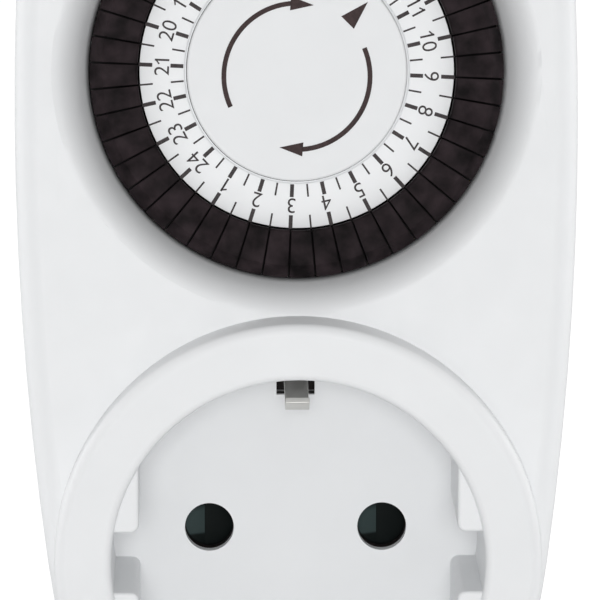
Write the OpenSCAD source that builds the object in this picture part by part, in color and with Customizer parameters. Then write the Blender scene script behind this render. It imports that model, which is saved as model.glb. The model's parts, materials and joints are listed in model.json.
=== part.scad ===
// Plug-in mechanical timer switch with a 24-hour dial and an earthed socket outlet.
// Frame: the origin is the centre of the plug's end face, the pins point along +Y,
// the socket faces -Y and the dial is above the socket, +Z up.

/* [Plug] */
// Distance between the two plug pins, and between the two socket holes
pin_pitch = 19; // [18:0.5:24]
// Diameter of a plug pin
pin_d = 4.8; // [4:0.1:5.8]
// Length of a plug pin beyond the plug face
pin_len = 19; // [15:0.5:24]
// Diameter of the plug body
plug_d = 37; // [36:0.5:45]
// Distance between the plug's two side flats
plug_flat_w = 33.6; // [32:0.2:35]
// Length of the plug body behind the housing
plug_len = 17.5; // [14:0.5:22]

/* [Socket] */
// Diameter of the socket recess at its rim
recess_d = 40.2; // [39:0.2:44]
// Distance between the recess's two side flats
recess_flat_w = 34.2; // [33:0.2:36]
// Depth of the socket recess
recess_depth = 17.5; // [14:0.5:21]
// Diameter of a socket hole
hole_d = 5.4; // [5:0.1:6.5]
// Outer radius of the raised collar round the recess
collar_r = 26.2; // [25.8:0.1:31.5]

/* [Housing] */
// Depth of the housing from its back to the collar's rim
body_depth = 37; // [34:0.5:46]
// Thickness of the housing's walls
wall = 2; // [1.6:0.1:2.4]
// Slope of the dial's face from the upright
face_tilt = 9; // [7:0.5:11]
// Housing left at each side of the dial's dished surround
side_margin = 4.05; // [4:0.05:7]
// Housing left above the dial's dished surround
top_margin = 4.2; // [4:0.1:8]
// Radius of the rounded edge round the front
front_edge_r = 2.6; // [1.5:0.1:3]

/* [Dial] */
// Outer radius of the ring of trippers
dial_r = 22.15; // [22:0.05:27]
// Width of the dished surround outside the trippers
dish_w = 4.1; // [3.6:0.1:5]
// Trippers round the dial
tripper_count = 48; // [48:48:48]
// How far a tripper moves when it is pressed
tripper_travel = 2; // [1.6:0.1:2.4]
// How far the trippers stand out of the sloping face
tripper_proud = 1.5; // [1:0.1:2]
// Radial width of a tripper's head
tripper_w = 5.1; // [4.8:0.1:5.4]
// Width of the numbered ring inside the trippers
scale_w = 4.85; // [4.6:0.05:5.2]
// Angle of the nine o'clock mark from level, at rest
dial_phase = -2.5; // [-7.5:0.5:7.5]

/* [Mechanism] */
// Module of the gear teeth
gear_m = 0.5; // [0.45:0.01:0.6]
// Radius of the motor's can
motor_r = 12; // [10:0.5:12.5]
// Thickness of the motor's can
motor_t = 5.6; // [5:0.1:5.8]
// How far the override slider moves
slide_travel = 5; // [4:0.5:6]

/* [Hidden] */
$fa = 4;
$fs = 0.25;

// Clearances
gap = 0.3;
fit_gap = 0.05;
seat_gap = 0.1;

// Places along Y
back_y = -plug_len;
rim_y = back_y - body_depth;
floor_t = 2.6;
floor_y = rim_y + recess_depth;
floor_back_y = floor_y + floor_t;
seam_y = back_y - 9.5;
back_in_y = back_y - wall;

// Sloping face and dial centre: the dish just meets the collar
recess_r = recess_d / 2;
hole_r = dial_r + 0.2;
dish_r = dial_r + dish_w;
dish_depth = 3.6;
dial_z = collar_r + dish_r * cos(face_tilt);
collar_rise = 5.2;
dial_y = rim_y + collar_rise + (dial_z - collar_r) * tan(face_tilt);

// Outline of the housing: a round foot, bowed sides, rounded corners and an arched top
foot_r = collar_r + 0.5;
half_w = dish_r + side_margin;
wide_z = dial_z - 5;
top_z = dial_z + dish_r * cos(face_tilt) + top_margin;
corner_r = 14;
top_bow_r = 60;
side_bow_r = (foot_r * foot_r - half_w * half_w - wide_z * wide_z) / (2 * (foot_r - half_w));
side_c = [half_w - side_bow_r, wide_z];
top_c = [0, top_z - top_bow_r];
corner_c = circles_meet(side_c, side_bow_r - corner_r, top_c, top_bow_r - corner_r);
side_low_a = atan2(-side_c[1], -side_c[0]);
side_high_a = atan2(corner_c[1] - side_c[1], corner_c[0] - side_c[0]);
corner_high_a = atan2(corner_c[1] - top_c[1], corner_c[0] - top_c[0]);
low_front_y = rim_y + 1;
back_edge_r = 2.2;

// Housing screws
post_r = 3;
head_r = 2.4;
screw_r = 1.2;
post_end_y = back_in_y - 2.6;
foot_screw_r = foot_r - back_edge_r - head_r - 0.7;
top_screw_r = corner_r - back_edge_r - head_r - 0.7;
foot_screw = foot_screw_r * [cos(-45), sin(-45)];
top_screw = corner_c + top_screw_r * [cos(45), sin(45)];
screw_places = [
    [foot_screw[0], foot_screw[1]], [-foot_screw[0], foot_screw[1]],
    [top_screw[0], top_screw[1]], [-top_screw[0], top_screw[1]]
];

// Dial stack, measured along the dial's axis from the sloping face (+ is outwards)
pitch_a = 360 / tripper_count;
tripper_gap_a = 0.55;
tripper_in_r = dial_r - tripper_w;
scale_r = tripper_in_r - 0.2;
disc_gap = 0.2;
disc_r = scale_r - scale_w - disc_gap;
scale_top_w = tripper_proud - 2;
scale_t = 1;
web_w = scale_top_w - scale_t;
web_t = 1.2;
dial_gear_t = 3;
dial_gear_w = web_w - web_t - dial_gear_t;
flange_w = web_w - 5.5;
flange_t = 1.4;
leg_in_r = tripper_in_r + 0.6;
leg_out_r = leg_in_r + 2.3;
leg_t = 1.2;
leg_w = flange_w - 2;
skirt_w = flange_w + flange_t + tripper_travel + 0.2;
follower_r = (leg_in_r + leg_out_r) / 2;
plate_w = leg_w - tripper_travel - 0.4;
plate_t = 1.2;
plate_under_w = plate_w - plate_t;
stem_r = 3;
hub_r = 5.4;

// Gear train, seen in the dial's own plane
// The tooth counts follow the module, so that the train keeps to its space
small_teeth = round(6 / gear_m);
dial_teeth = 3 * small_teeth;
wheel_teeth = round(20 / gear_m);
pinion_pitch_r = gear_m * small_teeth / 2;
dial_to_second = gear_m * (dial_teeth + small_teeth) / 2;
wheel_to_pinion = gear_m * (wheel_teeth + small_teeth) / 2;
second_dir = 180;
first_dir = -60;
motor_dir = 0;
second_at = dial_to_second * [cos(second_dir), sin(second_dir)];
first_at = second_at + wheel_to_pinion * [cos(first_dir), sin(first_dir)];
motor_gear_at = first_at + wheel_to_pinion * [cos(motor_dir), sin(motor_dir)];
wheel_t = 1.3;
stem_tail = 0.9;
clip_t = 0.5;
second_wheel_w = plate_under_w - stem_tail - gap;
first_wheel_w = second_wheel_w - wheel_t - 0.6;
motor_w = first_wheel_w - wheel_t - gap;
motor_at = motor_gear_at - [motor_r - pinion_pitch_r - 0.5, 0];
arbor_r = 1.5;
axle_r = 0.75;
tail_r = 1.7;
lug_r = 2.6;
motor_lug_r = motor_r + 2.5;
motor_post_r = 2.1;
motor_ear_r = 2.3;
motor_lugs = [for (a = [48, -60]) motor_at + motor_lug_r * [cos(a), sin(a)]];
thread_r = 0.8;
thread_hole_r = thread_r + 0.2;
plate_post_r = 2.2;
plate_screw_r = hole_r + 2.25;
plate_screws_at = [for (a = [33, 147, 230, 310]) plate_screw_r * [cos(a), sin(a)]];
plate_r = follower_r + 2.6;

// Switch group, right of the dial's axis and behind the plate
lever_u = follower_r;
nose_v = follower_r * sin(dial_phase);
lever_arm = 9.8;
lever_tilt = 10;
pivot_v = nose_v + lever_arm;
lever_t = 1.2;
pivot_w = plate_under_w - 1.8;
lever_top_w = pivot_w + lever_t / 2;
lever_low_w = pivot_w - lever_t / 2;
nose_w = leg_w - gap;
tab_v = nose_v - 4;
plunger_arm = 4;
plunger_v = pivot_v - plunger_arm;
plunger_r = 0.9;
switch_size = [6, 12.8, 4.2];
switch_w = lever_low_w - (lever_arm + 3) * tan(lever_tilt) - gap;
switch_v = pivot_v - 0.2 - switch_size[1];
ear_t = 0.9;
switch_pin_r = 0.6;
switch_pin_w = switch_w - 2.6;
ear_in = switch_size[0] / 2 + seat_gap;
blade_w = switch_w - 3.4;
blade_end_v = switch_v - 4;
blade_u = [lever_u - 1.8, lever_u + 1.8];

// Override slider in the right-hand wall
slide_u = half_w - wall - 0.7;
slide_plate_t = 1.3;
slide_mid_w = -8.6;
slide_plate_w = 6.4;
window_w = 4.6;
nub_len = 7;
window_v = tab_v - 2.6;
window_len = nub_len + slide_travel + 0.8;
finger_v = tab_v - 1.1;
finger_u = lever_u + ear_in + ear_t + 0.4;
finger_end_u = slide_u - slide_plate_t - 0.2;
finger_drop = (pivot_v - tab_v) * sin(lever_tilt);

// Contacts
pin_x = pin_pitch / 2;
bar_t = 0.8;
bar_w = 3;
sleeve_in_r = pin_d / 2 + 0.1;
sleeve_r = sleeve_in_r + 0.8;
sleeve_front_y = floor_back_y + 4.2;
sleeve_len = 9.4;
plug_wall = 3;
pin_core_r = pin_d / 2 - 0.2;
pin_sink = 0.4;
pin_boss = 3.2;
pin_boss_r = 4.2;
pin_tail_r = 1.6;
pin_seat_y = -plug_wall - pin_boss;
plug_in_r = plug_d / 2 - 3;
earth_w = 4;
earth_z = plug_d / 2 - 1;
clip_w = 2.6;
arm_x = pin_x - sleeve_r - seat_gap - bar_t;
washer_r = 3;
plug_in_w = 2 * (pin_x + washer_r + gap);
groove_depth = 1.4;
groove_w = 5;
shelf_z = plug_in_r * 0.85;
tab_z = row_z(blade_end_v, blade_w) - 0.2;

// Shutter behind the socket's holes: its two ramps let the plug's pins push it aside
shutter_gap = 0.15;
shutter_y = floor_back_y + shutter_gap;
shutter_t = 1;
shutter_deep = 3.4;
cheek_t = 0.8;
ramp_half_w = hole_d / 2 + 0.4;
ramp_half_h = hole_d / 2 + 0.5;
shutter_half_h = ramp_half_h + 1.8;
shutter_travel = ramp_half_w + pin_d / 2 + 0.1;

TRIPPERS = [
    "trippers_01", "trippers_02", "trippers_03", "trippers_04", "trippers_05", "trippers_06",
    "trippers_07", "trippers_08", "trippers_09", "trippers_10", "trippers_11", "trippers_12",
    "trippers_13", "trippers_14", "trippers_15", "trippers_16", "trippers_17", "trippers_18",
    "trippers_19", "trippers_20", "trippers_21", "trippers_22", "trippers_23", "trippers_24"
];

// ---------- functions ----------
function circles_meet(a, ra, b, rb) =
    let (d = norm(b - a), along = (ra * ra - rb * rb + d * d) / (2 * d),
         up = sqrt(ra * ra - along * along), dir = (b - a) / d)
    a + along * dir + up * [-dir[1], dir[0]] * (dir[0] > 0 ? 1 : -1);

function arc(c, r, a, b, n) =
    [for (k = [0:n - 1]) let (t = a + (b - a) * k / n) c + r * [cos(t), sin(t)]];

// The right half of the housing's outline, from the foot to the top, moved in by inset,
// with one of its points at the height bend_z, where the front bends
foot_steps = 20;
low_side_steps = 4;
function right_side(inset, bend_z) =
    let (bend_a = asin((bend_z - side_c[1]) / (side_bow_r - inset)))
    concat(
        arc([0, 0], foot_r - inset, -90, side_low_a, foot_steps),
        arc(side_c, side_bow_r - inset, side_low_a, bend_a, low_side_steps),
        arc(side_c, side_bow_r - inset, bend_a, side_high_a, 10),
        arc(corner_c, corner_r - inset, side_high_a, corner_high_a, 9),
        arc(top_c, top_bow_r - inset, corner_high_a, 90, 5),
        [[0, top_z - inset]]);
function outline(inset, bend_z) =
    let (half = right_side(inset, bend_z), n = len(half))
    concat(half, [for (k = [n - 2:-1:1]) [-half[k][0], half[k][1]]]);

// Row coordinates of a point of the dial's frame
function row_y(v, w) = dial_y + v * sin(face_tilt) - w * cos(face_tilt);
function row_z(v, w) = dial_z + v * cos(face_tilt) + w * sin(face_tilt);

// Angle of the mark for hour h
function hour_a(h) = dial_phase + 2 * pitch_a * (h - 9);

// A bent strip of thickness t along a path, as a closed outline
function turn_left(p) = [-p[1], p[0]];
function unit(p) = p / norm(p);
function strip_normal(path, k) =
    let (n = len(path), a = unit(path[max(k, 1)] - path[max(k, 1) - 1]),
         b = unit(path[min(k + 1, n - 1)] - path[min(k, n - 2)]), m = turn_left(unit(a + b)))
    m / (m * turn_left(a));
function strip(path, t) =
    let (n = len(path))
    concat([for (k = [0:n - 1]) path[k] + strip_normal(path, k) * t / 2],
           [for (k = [n - 1:-1:0]) path[k] - strip_normal(path, k) * t / 2]);

// Involute gear outline, 25 degree pressure angle, stub teeth, thinned for backlash
pressure_a = 25;
backlash = 0.1;
function inv(a) = tan(a) * 180 / PI - a;
function half_tooth(z, r) =
    let (rp = gear_m * z / 2, rb = rp * cos(pressure_a))
    90 / z - backlash / (4 * PI * rp) * 360 + inv(pressure_a) - inv(acos(min(1, rb / r)));
function gear_points(z, phase) =
    let (rp = gear_m * z / 2, low = max(rp * cos(pressure_a), rp - gear_m),
         root = rp - 1.1 * gear_m, tip = rp + 0.8 * gear_m,
         rs = [low, low + (tip - low) / 3, low + (tip - low) * 2 / 3, tip])
    [for (k = [0:z - 1], s = [0:9])
        let (c = phase + 360 * k / z, r = s == 0 || s == 9 ? root : s < 5 ? rs[s - 1] : rs[8 - s],
             side = s < 5 ? -1 : 1, a = c + side * half_tooth(z, max(r, low)))
        r * [cos(a), sin(a)]];
// Phase of a gear that meshes with another one, which lies in direction dir from its centre
function mesh_phase(z, z_other, phase_other, dir) =
    dir + 180 + 180 / z - (phase_other - dir) * z_other / z;

// ---------- frames and shapes ----------
// Local z points to the front (-Y), local y is up
module at_y(y) translate([0, y, 0]) rotate([90, 0, 0]) children();
// Local z is the dial's axis, outwards; local y runs up the sloping face
module dial_frame() translate([0, dial_y, dial_z]) rotate([90 - face_tilt, 0, 0]) children();
// An outline in Y and Z, drawn out along X by width, centred
module side_profile(points, width)
    translate([-width / 2, 0, 0]) rotate([90, 0, 90]) linear_extrude(width) polygon(points);
// An outline in the dial's v and w, drawn out along u
module dial_profile(points, width) side_frame() linear_extrude(width) polygon(points);
module side_frame() rotate([90, 0, 90]) children();

module slice(inset, y, t) at_y(y) linear_extrude(t) polygon(outline(inset, bend_height(0)));
module gear(z, t, phase) linear_extrude(t) polygon(gear_points(z, phase));
module tube(outer, inner, h) difference() {
    cylinder(r = outer, h = h);
    translate([0, 0, -1]) cylinder(r = inner, h = h + 2);
}

// A closed solid through rings of points, from the back ring to the front one. Its front cap
// is bent across the points bend and its mirror image, where the sloping face begins.
module loft(rings, bend) {
    n = len(rings[0]);
    last = (len(rings) - 1) * n;
    sides = [for (r = [0:len(rings) - 2], k = [0:n - 1])
        let (next = (k + 1) % n) [r * n + k, r * n + n + k, r * n + n + next, r * n + next]];
    low_cap = [for (k = [bend:-1:-bend]) last + (k + n) % n];
    high_cap = [for (k = [n - bend:-1:bend]) last + k];
    polyhedron([for (r = rings) each r], concat([[for (k = [0:n - 1]) k]], sides, [low_cap, high_cap]));
}
bend_point = foot_steps + low_side_steps;
// Height at which the sloping face and the upright one below it meet, both moved back by q
function bend_height(q) =
    let (v = (low_front_y + q - dial_y - q * cos(face_tilt)) / sin(face_tilt)) row_z(v, -q);
function front_y(z, q) =
    max(low_front_y + q, dial_y + ((z - dial_z) * sin(face_tilt) + q) / cos(face_tilt));
function front_ring(inset, q) = [for (p = outline(inset, bend_height(q))) [p[0], front_y(p[1], q), p[1]]];
function flat_ring(inset, y, q) = [for (p = outline(inset, bend_height(q))) [p[0], y, p[1]]];
// The housing's front half: a sloping face above, an upright one behind the collar's rim below
module front_form(inset, edge_r, steps, from_y) loft(concat(
    [flat_ring(inset, from_y, inset + edge_r)],
    [for (k = [0:steps]) let (a = 90 * k / steps)
        front_ring(inset + edge_r * (1 - cos(a)), inset + edge_r * (1 - sin(a)))]), bend_point);
module rear_form(inset, edge_r, steps, to_y) loft(concat(
    [for (k = [steps:-1:0]) let (a = 90 * k / steps)
        flat_ring(inset + edge_r * (1 - cos(a)), back_y - inset - edge_r * (1 - sin(a)), 0)],
    [flat_ring(inset, to_y, 0)]), bend_point);

function rounded_end(r, h, e, n) = concat([[0, 0], [r, 0]],
    [for (k = [0:n]) let (a = 90 * k / n) [r - e + e * cos(a), h - e + e * sin(a)]], [[0, h]]);
module rounded_disc(r, h, e, n = 5) rotate_extrude() polygon(rounded_end(r, h, e, n));

// ---------- housing ----------
recess_block_y = rim_y + 1;
recess_notch_w = 6.6;
recess_slot_z = 14.9;
recess_slot_top = 19.1;
clip_groove_drop = 5.5;
clip_groove_top = recess_r + 1.2;
module recess_cut() difference() {
    at_y(floor_y) cylinder(r = recess_r, h = recess_depth + 1);
    for (s = [-1, 1])
        difference() {
            translate([s > 0 ? recess_flat_w / 2 : -recess_r - 1, recess_block_y, -recess_r])
                cube([recess_r + 1 - recess_flat_w / 2, floor_y - recess_block_y + 1, 2 * recess_r]);
            translate([-recess_r - 2, rim_y - 1, -recess_notch_w / 2])
                cube([2 * recess_r + 4, recess_depth + 1, recess_notch_w]);
        }
}
function dish_profile(n) = concat([[0, 3], [dish_r + 0.4, 3], [dish_r, 0]],
    [for (k = [1:n]) let (s = k / n) [dish_r - s * (dish_r - hole_r), -dish_depth * pow(s, 1.6)]],
    [[hole_r, -9], [0, -9]]);
module dial_ring() rotate_extrude() polygon([
    [hole_r - 1, -7], [hole_r + wall, -7], [hole_r + wall, -5.2],
    [dish_r + 1, -wall - 0.6], [dish_r + 1, -1], [hole_r - 1, -1]]);
module slide_window() translate([slide_u - 6, window_v, slide_mid_w - window_w / 2])
    cube([12, window_len, window_w]);
module front_shell() color("white") difference() {
    union() {
        difference() {
            union() {
                front_form(0, front_edge_r, 5, seam_y);
                at_y(floor_back_y) rounded_disc(collar_r, floor_back_y - rim_y, 1.2);
            }
            front_form(wall, 0.6, 1, seam_y + 1);
            at_y(seam_y + 1) cylinder(r = collar_r - wall, h = seam_y + 1 - rim_y - wall);
        }
        at_y(floor_back_y) cylinder(r = recess_r + wall, h = floor_back_y - rim_y - 0.5);
        dial_frame() {
            dial_ring();
            for (p = plate_screws_at) translate([p[0], p[1], plate_w]) cylinder(r = plate_post_r, h = 5.5);
            for (w = [-slide_plate_w / 2 - 1.1, slide_plate_w / 2 + 0.1])
                translate([slide_u - slide_plate_t, window_v - 6, slide_mid_w + w])
                    cube([slide_plate_t + 1.4, window_len + 10, 1]);
        }
        for (p = screw_places) front_post(p);
        shutter_guide();
    }
    recess_cut();
    at_y(rim_y + 0.5) cylinder(r1 = recess_r, r2 = recess_r + 0.6, h = 0.6);
    for (s = [-1, 1]) {
        translate([s * pin_x, 0, 0]) at_y(floor_back_y + 1) cylinder(r = hole_d / 2, h = floor_t + 2);
        translate([-earth_w / 2 - seat_gap, floor_y - 1, s > 0 ? recess_slot_z : -recess_slot_top])
            cube([earth_w + 2 * seat_gap, floor_t + 2, recess_slot_top - recess_slot_z]);
        translate([-earth_w / 2 - seat_gap, rim_y + clip_groove_drop, s > 0 ? 15 : -clip_groove_top])
            cube([earth_w + 2 * seat_gap, recess_depth - clip_groove_drop, clip_groove_top - 15]);
    }
    dial_frame() {
        rotate_extrude() polygon(dish_profile(8));
        for (p = plate_screws_at) translate([p[0], p[1], plate_w - 1])
            cylinder(r = thread_r + fit_gap, h = 5);
        slide_window();
    }
    for (p = screw_places)
        translate([p[0], 0, p[1]]) at_y(post_end_y + 1) cylinder(r = screw_r + fit_gap, h = 11);
}
// A frame on the floor's back whose two lips hold the shutter and whose ends stop it
guide_lip = 0.7;
module shutter_guide() translate([0, floor_back_y, 0]) {
    left = pin_x + ramp_half_w + shutter_travel + shutter_gap;
    right = pin_x + ramp_half_w + shutter_gap;
    high = shutter_half_h + shutter_gap;
    difference() {
        translate([-left - 0.8, -0.5, -high - 1])
            cube([left + right + 1.6, 0.5 + shutter_t + 2 * shutter_gap + guide_lip, 2 * high + 2]);
        translate([-left, -1, -high]) cube([left + right, 1 + shutter_t + 2 * shutter_gap, 2 * high]);
        translate([-left, -1, -ramp_half_h - 1]) cube([left + right, 5, 2 * ramp_half_h + 2]);
    }
}
// A post for a housing screw, from the front wall's inside to just short of the rear pillar
module front_post(p) translate([p[0], 0, p[1]]) at_y(post_end_y - gap)
    cylinder(r = post_r, h = (p[1] < 0 ? floor_back_y - 1 : row_y((p[1] - dial_z) / cos(face_tilt), -1))
        * -1 + post_end_y - gap);

module plug_body() intersection() {
    at_y(0) cylinder(r = plug_d / 2, h = plug_len + wall);
    translate([-plug_flat_w / 2, -plug_len - wall - 1, -plug_d])
        cube([plug_flat_w, plug_len + wall + 2, 2 * plug_d]);
}
module rear_shell() color("white") difference() {
    union() {
        difference() {
            rear_form(0, back_edge_r, 4, seam_y + gap);
            rear_form(wall, 0.6, 1, seam_y - 1);
        }
        lip();
        plug_body();
        for (p = screw_places)
            translate([p[0], 0, p[1]]) at_y(back_in_y + 1)
                cylinder(r = post_r + 0.4, h = back_in_y + 1 - post_end_y);
    }
    difference() {
        intersection() {
            at_y(-plug_wall) cylinder(r = plug_in_r, h = plug_len);
            translate([-plug_in_w / 2, -plug_wall - plug_len, -plug_d])
                cube([plug_in_w, plug_len, 2 * plug_d]);
        }
        for (s = [-1, 1]) translate([s * pin_x, 0, 0]) at_y(0)
            cylinder(r = pin_boss_r, h = plug_wall + pin_boss);
    }
    for (s = [-1, 1]) {
        translate([s * pin_x, 0, 0]) {
            at_y(1) cylinder(r = pin_core_r + fit_gap, h = plug_wall + pin_boss + 2);
            at_y(1) cylinder(r = pin_d / 2 + fit_gap, h = 1 + pin_sink);
        }
        translate([-earth_w / 2 - seat_gap, back_in_y - 1, s > 0 ? earth_z - bar_t : -plug_d / 2 - 1])
            cube([earth_w + 2 * seat_gap, plug_len + wall + 2, plug_d / 2 + 1 - earth_z + bar_t]);
        translate([s > 0 ? plug_flat_w / 2 - groove_depth : -plug_flat_w / 2 - 1, back_y, -groove_w / 2])
            cube([groove_depth + 1, plug_len + 1, groove_w]);
    }
    for (p = screw_places) translate([p[0], 0, p[1]]) {
        at_y(back_y + 1) cylinder(r = head_r + 0.2, h = 4);
        at_y(back_y + 1) cylinder(r = screw_r + 0.4, h = 10);
    }
}
// A tongue on the rear shell that locates the front shell
module lip() difference() {
    union() {
        slice(wall - 0.5, seam_y + 3, 2.5);
        slice(wall + 0.2, seam_y + 3, 4.6);
    }
    slice(wall + 1.1, seam_y + 4, 7);
    for (p = screw_places) translate([p[0], 0, p[1]]) at_y(seam_y + 4) cylinder(r = post_r + gap, h = 7);
}
module housing_screws() color("silver") for (p = screw_places) translate([p[0], 0, p[1]]) {
    at_y(back_y - 1) cylinder(r = head_r, h = 2);
    at_y(back_y - 2) cylinder(r = screw_r, h = 11);
}

// ---------- plug, socket and current path ----------
module pin(x) translate([x, 0, 0]) {
    at_y(0) mirror([0, 0, 1]) rounded_disc(pin_d / 2, pin_len, 1.2, 4);
    at_y(0) cylinder(r = pin_core_r, h = -pin_seat_y);
    at_y(pin_seat_y) cylinder(r = pin_core_r + 1, h = 0.8);
    at_y(pin_seat_y) cylinder(r = pin_tail_r, h = 3);
}
module live_pin() color("silver") pin(pin_x);
module neutral_pin() color("silver") pin(-pin_x);

// Earth: side contacts of the plug, a cross strap and two sprung clips in the socket
clip_path = [[floor_back_y, earth_z - 0.4], [floor_y - 1.5, earth_z - 0.4], [floor_y - 7, 15.9],
    [floor_y - 8.8, 15.5], [floor_y - 10.4, 15.8], [floor_y - 12, 16.9]];
module earth_strap() color("goldenrod") {
    for (s = [0, 1]) mirror([0, 0, s]) {
        side_profile(strip([[-1, earth_z - 0.4], [floor_back_y - 1, earth_z - 0.4]], bar_t), earth_w);
        side_profile(strip(clip_path, 0.6), clip_w);
    }
    translate([-earth_w / 2, floor_back_y + 4.6, -earth_z]) cube([earth_w, bar_t, 2 * earth_z]);
}

// A ramp in two steps that slopes back to the right, between its two cheeks
ramp_floor = shutter_deep - 0.3;
ramp_cut = [[-ramp_half_w - 1, -1], [-ramp_half_w - 1, 0], [-ramp_half_w, 0], [-0.5, 1.3],
    [-0.5, 1.9], [ramp_half_w, ramp_floor], [ramp_half_w + 1, ramp_floor], [ramp_half_w + 1, -1]];
module shutter_ramp() difference() {
    translate([-ramp_half_w, 0, -ramp_half_h - cheek_t])
        cube([2 * ramp_half_w, shutter_deep, 2 * (ramp_half_h + cheek_t)]);
    translate([0, 0, -ramp_half_h]) linear_extrude(2 * ramp_half_h) polygon(ramp_cut);
}
module socket_shutter() color("darkslategray") translate([0, shutter_y, 0]) {
    for (s = [-1, 1]) translate([s * pin_x, 0, 0]) shutter_ramp();
    for (z = [-shutter_half_h, ramp_half_h])
        translate([-pin_x - ramp_half_w, 0, z])
            cube([2 * (pin_x + ramp_half_w), shutter_t, shutter_half_h - ramp_half_h]);
}

module sleeve(x) translate([x, 0, 0]) at_y(sleeve_front_y + sleeve_len) difference() {
    tube(sleeve_r, sleeve_in_r, sleeve_len);
    translate([0, 0, sleeve_len - 1.2]) cylinder(r1 = sleeve_in_r, r2 = sleeve_in_r + 0.6, h = 1.21);
    translate([-0.5, -sleeve_r - 1, 3]) cube([1, 2 * sleeve_r + 2, sleeve_len]);
}
module live_contact() color("goldenrod") sleeve(pin_x);
module neutral_contact() color("goldenrod") sleeve(-pin_x);

// A washer on the pin's tail with an arm that runs forwards beside the contact sleeve
arm_w = 4;
module pin_arm(to_y) {
    translate([pin_x, 0, 0]) at_y(pin_seat_y - bar_t) tube(washer_r, pin_tail_r + fit_gap, bar_t);
    translate([arm_x, pin_seat_y - 2 * bar_t, -arm_w / 2]) cube([pin_x - 2 - arm_x, bar_t, arm_w]);
    translate([arm_x, to_y, -arm_w / 2]) cube([bar_t, pin_seat_y - bar_t - to_y, arm_w]);
}
module neutral_bar() color("goldenrod") mirror([1, 0, 0]) pin_arm(sleeve_front_y + 2);
module wall_bar(path) at_y(back_in_y) linear_extrude(bar_t) polygon(strip(path, bar_w));
module bar_tab(x) translate([x - bar_w / 2, row_y(blade_end_v, blade_w) - 0.6, tab_z - bar_t])
    cube([bar_w, back_in_y - row_y(blade_end_v, blade_w) + 0.6, bar_t]);
in_bar_x = arm_x + bar_t - bar_w / 2;
module live_in_bar() color("goldenrod") {
    pin_arm(back_in_y - bar_t);
    wall_bar([[in_bar_x, -arm_w / 2], [in_bar_x, tab_z - 13],
        [blade_u[0], tab_z - 4.6], [blade_u[0], tab_z]]);
    bar_tab(blade_u[0]);
}
out_bar_y = sleeve_front_y + 7;
module live_out_bar() color("goldenrod") {
    translate([pin_x - bar_w / 2, out_bar_y, sleeve_r + seat_gap])
        cube([bar_w, bar_t, shelf_z - sleeve_r - seat_gap + bar_t]);
    translate([pin_x - bar_w / 2, out_bar_y, shelf_z]) cube([bar_w, back_in_y - out_bar_y, bar_t]);
    wall_bar([[pin_x, shelf_z], [pin_x, tab_z - 17], [blade_u[1], tab_z - 9], [blade_u[1], tab_z]]);
    bar_tab(blade_u[1]);
}

// ---------- dial ----------
module centre_disc() color("white") dial_frame() {
    translate([0, 0, web_w + gap]) rounded_disc(disc_r, scale_top_w + 0.9 - web_w - gap, 0.25, 3);
    translate([0, 0, plate_under_w - stem_tail])
        cylinder(r = stem_r, h = web_w + gap + 0.1 - plate_under_w + stem_tail);
}
// A flat spring ring on the stem, open on one side
module stem_clip() color("silver") dial_frame()
    translate([0, 0, plate_under_w - seat_gap - clip_t]) difference() {
        tube(stem_r + 1.6, stem_r, clip_t);
        translate([0, -1.5, -1]) cube([10, 3, 3]);
    }
module scale_ring() color("white") dial_frame()
    translate([0, 0, web_w]) tube(scale_r, disc_r + disc_gap, scale_t);
module dial_body() color([0.16, 0.14, 0.15]) dial_frame() difference() {
    union() {
        rotate_extrude() polygon([
            [stem_r + fit_gap, plate_w + gap], [hub_r, plate_w + gap], [hub_r, web_w - web_t],
            [scale_r - 0.9, web_w - web_t], [scale_r - 0.9, flange_w], [dial_r - 0.8, flange_w],
            [dial_r - 0.8, flange_w + flange_t], [scale_r, flange_w + flange_t], [scale_r, web_w],
            [stem_r + fit_gap, web_w]]);
        translate([0, 0, dial_gear_w]) difference() {
            gear(dial_teeth, dial_gear_t + 0.2, 0);
            translate([0, 0, -1]) cylinder(r = hub_r - 0.5, h = 5);
        }
    }
    for (k = [0:tripper_count - 1]) rotate(dial_phase + (k + 0.5) * pitch_a)
        translate([leg_in_r - gap, -leg_t / 2 - 0.15, flange_w - 1])
            cube([leg_out_r - leg_in_r + 2 * gap, leg_t + 0.3, flange_t + 2]);
}
// One tripper: a head with a bevelled outer edge and a skirt, and a leg through the dial's flange
module tripper(a) {
    rotate(a + tripper_gap_a / 2) rotate_extrude(angle = pitch_a - tripper_gap_a) polygon([
        [tripper_in_r, web_w + 0.6], [dial_r - 0.9, web_w + 0.6], [dial_r - 0.9, skirt_w],
        [dial_r, skirt_w], [dial_r, tripper_proud - 1.4], [dial_r - 1.3, tripper_proud],
        [tripper_in_r + 0.2, tripper_proud], [tripper_in_r, tripper_proud - 0.2]]);
    rotate(a + pitch_a / 2) translate([leg_in_r, -leg_t / 2, leg_w])
        cube([leg_out_r - leg_in_r, leg_t, web_w + 1 - leg_w]);
}
// The two half-hour trippers of one hour
module hour_trippers(h) color([0.2, 0.17, 0.18]) dial_frame()
    for (k = [0, 1]) tripper(hour_a(h) + k * pitch_a);

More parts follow.
